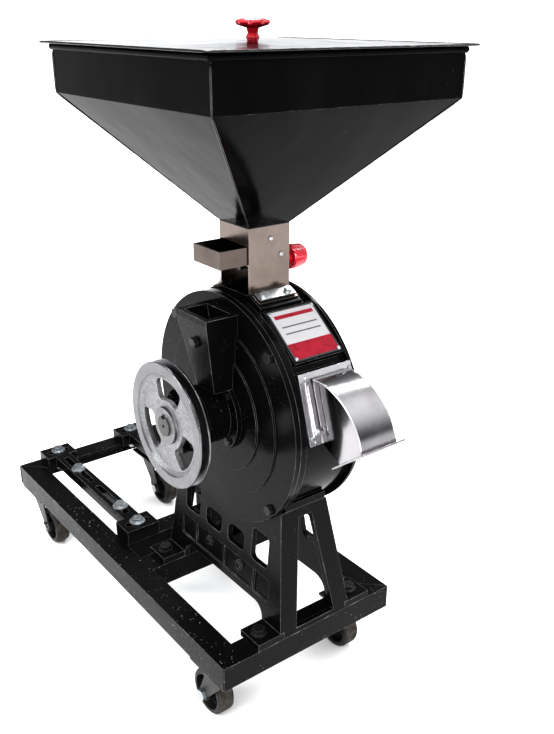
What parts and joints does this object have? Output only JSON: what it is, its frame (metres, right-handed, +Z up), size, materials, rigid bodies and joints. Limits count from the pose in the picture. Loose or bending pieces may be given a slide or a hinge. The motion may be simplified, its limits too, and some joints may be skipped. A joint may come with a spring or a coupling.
{
  "type": "hammer mill",
  "caption": "Small belt-driven hammer mill with a round drum, square hopper and side spout on a wheeled angle-iron base with motor rails.",
  "frame": {"origin": "on the floor under the centre of the whole mill's outline", "axes": "+X along the base from the motor end to the mill end, where the spout points; the pulley is on the -Y side; +Z up"},
  "size_m": [0.8576, 0.406, 0.9981],
  "materials": {
    "frame_paint": "satin black paint, worn at the edges",
    "casting_paint": "gloss black enamel over rough casting",
    "drum_paint": "gloss black enamel over machined casting",
    "hopper_paint": "high gloss black on sheet metal",
    "stainless": "brushed stainless sheet",
    "polished_stainless": "polished stainless sheet",
    "cast_aluminium": "machined aluminium casting",
    "zinc": "bright zinc plate",
    "black_bolt": "black painted bolt",
    "steel": "turned steel",
    "bearing_steel": "ground bearing steel",
    "caster_steel": "dull dark pressed steel",
    "caster_wheel": "dark moulded wheel with a dusty tread",
    "red_plastic": "gloss red moulding",
    "nameplate": "printed plate with a red band and no lettering"
  },
  "bodies": {
    "mill_body": {"base_frame": "frame_paint", "pedestal": "casting_paint", "pedestal_bolts": "black_bolt", "rail_front": "casting_paint", "rail_rear": "casting_paint", "rail_end_bolts": "zinc", "motor_clamp_bolts": "zinc", "caster_plates": "caster_steel", "caster_bolts": "caster_steel", "drum_shell": "drum_paint", "drum_foot_bolts": "black_bolt", "front_cover": "drum_paint", "back_cover": "drum_paint", "cover_bolts": "black_bolt", "back_cover_bolts": "black_bolt", "feed_chute": "casting_paint", "chute_bolt": "black_bolt", "bearing_housing": "drum_paint", "bearing_cap": "drum_paint", "cap_bolts": "black_bolt", "front_bearing": "bearing_steel", "rear_bearing": "bearing_steel", "screen": "bearing_steel", "spout_plate": "polished_stainless", "spout_hood": "polished_stainless", "spout_screws": "zinc", "nameplate": "nameplate", "nameplate_screws": "zinc", "feed_bracket": "stainless", "bracket_bolts": "zinc", "hopper": "hopper_paint", "hopper_rim": "hopper_paint"},
    "rotor": {"drive_shaft": "steel", "pulley": "cast_aluminium", "pulley_key": "steel", "pulley_set_screw": "steel", "rotor_disc": "steel", "rotor_ring": "steel", "hammer_pins": "steel"},
    "hammer_body_1": {"hammer_1": "steel"},
    "hammer_body_2": {"hammer_2": "steel"},
    "hammer_body_3": {"hammer_3": "steel"},
    "hammer_body_4": {"hammer_4": "steel"},
    "swivel_1": {"caster_fork_1": "caster_steel", "caster_axle_1": "zinc"},
    "wheel_1": {"caster_wheel_1": "caster_wheel"},
    "swivel_2": {"caster_fork_2": "caster_steel", "caster_axle_2": "zinc"},
    "wheel_2": {"caster_wheel_2": "caster_wheel"},
    "swivel_3": {"caster_fork_3": "caster_steel", "caster_axle_3": "zinc"},
    "wheel_3": {"caster_wheel_3": "caster_wheel"},
    "swivel_4": {"caster_fork_4": "caster_steel", "caster_axle_4": "zinc"},
    "wheel_4": {"caster_wheel_4": "caster_wheel"},
    "feed_tray_body": {"feed_tray": "stainless"},
    "feed_knob_body": {"feed_knob": "red_plastic", "feed_screw": "steel"},
    "lid_body": {"hopper_lid": "hopper_paint", "lid_knob": "red_plastic"}
  },
  "joints": [
    {"name": "rotor_spin", "type": "hinge", "parent": "mill_body", "child": "rotor", "pos_m": [0.162, -0.1, 0.468], "axis": [0, 1, 0], "continuous": true},
    {"name": "hammer_1_swing", "type": "hinge", "parent": "rotor", "child": "hammer_body_1", "pos_m": [0.254, -0.007, 0.468], "axis": [0, 1, 0], "continuous": true},
    {"name": "hammer_2_swing", "type": "hinge", "parent": "rotor", "child": "hammer_body_2", "pos_m": [0.162, -0.007, 0.56], "axis": [0, 1, 0], "continuous": true},
    {"name": "hammer_3_swing", "type": "hinge", "parent": "rotor", "child": "hammer_body_3", "pos_m": [0.07, -0.007, 0.468], "axis": [0, 1, 0], "continuous": true},
    {"name": "hammer_4_swing", "type": "hinge", "parent": "rotor", "child": "hammer_body_4", "pos_m": [0.162, -0.007, 0.376], "axis": [0, 1, 0], "continuous": true},
    {"name": "caster_1_swivel", "type": "hinge", "parent": "mill_body", "child": "swivel_1", "pos_m": [-0.379, -0.142, 0.09], "axis": [0, 0, 1], "continuous": true},
    {"name": "caster_1_roll", "type": "hinge", "parent": "swivel_1", "child": "wheel_1", "pos_m": [-0.349, -0.142, 0.0375], "axis": [0, 1, 0], "continuous": true},
    {"name": "caster_2_swivel", "type": "hinge", "parent": "mill_body", "child": "swivel_2", "pos_m": [0.271, -0.142, 0.09], "axis": [0, 0, 1], "continuous": true},
    {"name": "caster_2_roll", "type": "hinge", "parent": "swivel_2", "child": "wheel_2", "pos_m": [0.241, -0.142, 0.0375], "axis": [0, 1, 0], "continuous": true},
    {"name": "caster_3_swivel", "type": "hinge", "parent": "mill_body", "child": "swivel_3", "pos_m": [0.271, 0.114, 0.09], "axis": [0, 0, 1], "continuous": true},
    {"name": "caster_3_roll", "type": "hinge", "parent": "swivel_3", "child": "wheel_3", "pos_m": [0.241, 0.114, 0.0375], "axis": [0, 1, 0], "continuous": true},
    {"name": "caster_4_swivel", "type": "hinge", "parent": "mill_body", "child": "swivel_4", "pos_m": [-0.379, 0.114, 0.09], "axis": [0, 0, 1], "continuous": true},
    {"name": "caster_4_roll", "type": "hinge", "parent": "swivel_4", "child": "wheel_4", "pos_m": [-0.349, 0.114, 0.0375], "axis": [0, 1, 0], "continuous": true},
    {"name": "knob_turn", "type": "hinge", "parent": "mill_body", "child": "feed_knob_body", "pos_m": [0.162, 0.034, 0.678], "axis": [0, 1, 0], "range_deg": [-905, 365]},
    {"name": "tray_slide", "type": "slide", "parent": "mill_body", "child": "feed_tray_body", "axis": [0, 1, 0], "range_m": [-0.02, 0.008]},
    {"name": "lid_lift", "type": "slide", "parent": "mill_body", "child": "lid_body", "axis": [0, 0, 1], "range_m": [0, 0.15]}
  ],
  "couplings": [
    {"joint": "knob_turn", "follows": "tray_slide", "rad_per_m": 785.4}
  ]
}
